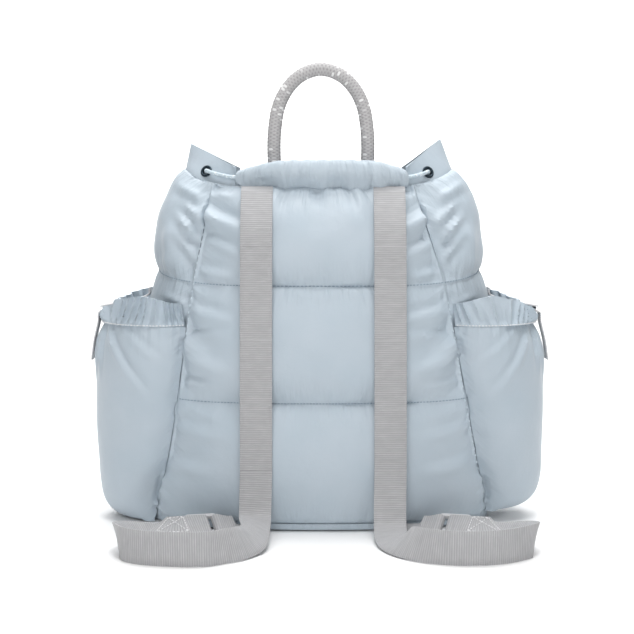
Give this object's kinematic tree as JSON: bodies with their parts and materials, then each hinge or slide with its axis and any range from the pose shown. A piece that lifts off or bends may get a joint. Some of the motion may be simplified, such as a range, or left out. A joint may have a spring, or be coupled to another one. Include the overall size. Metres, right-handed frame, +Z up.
{
  "type": "quilted puffer backpack",
  "caption": "Quilted puffer backpack with a gathered drawcord mouth, rope top handle, webbing shoulder straps with ladder locks, and open side pockets with snap tabs.",
  "frame": {"origin": "on the floor under the middle of the bag's base, on the flat underside of the base panel", "axes": "+Z up, +Y towards the bag's front, -Y towards the wearer's side with the shoulder straps, +X to the right in a view of the wearer's side"},
  "size_m": [0.4805, 0.3261, 0.473],
  "materials": {
    "nylon": "soft sheen woven nylon",
    "webbing": "ribbed flat webbing",
    "rope": "braided rope with flecks",
    "drawcord": "braided cord",
    "eyelet_metal": "dark satin",
    "snap_metal": "dark satin",
    "lock_plastic": "moulded"
  },
  "bodies": {
    "root": {"back_panel": "nylon", "front_panel": "nylon", "side_panel_left": "nylon", "side_panel_right": "nylon", "base_panel": "nylon", "back_casing": "nylon", "front_casing": "nylon", "ear_band_left": "nylon", "ear_band_right": "nylon", "eyelet_back_left": "eyelet_metal", "eyelet_front_left": "eyelet_metal", "eyelet_back_right": "eyelet_metal", "eyelet_front_right": "eyelet_metal", "drawcord": "drawcord", "handle_rope": "rope", "shoulder_strap_left": "webbing", "ladder_lock_left": "lock_plastic", "anchor_tab_left": "webbing", "side_pocket_left": "nylon", "pocket_ruffle_left": "nylon", "pocket_strap_left": "webbing", "pocket_tab_left": "webbing", "pocket_snap_left": "snap_metal", "shoulder_strap_right": "webbing", "ladder_lock_right": "lock_plastic", "anchor_tab_right": "webbing", "side_pocket_right": "nylon", "pocket_ruffle_right": "nylon", "pocket_strap_right": "webbing", "pocket_tab_right": "webbing", "pocket_snap_right": "snap_metal"}
  },
  "joints": []
}
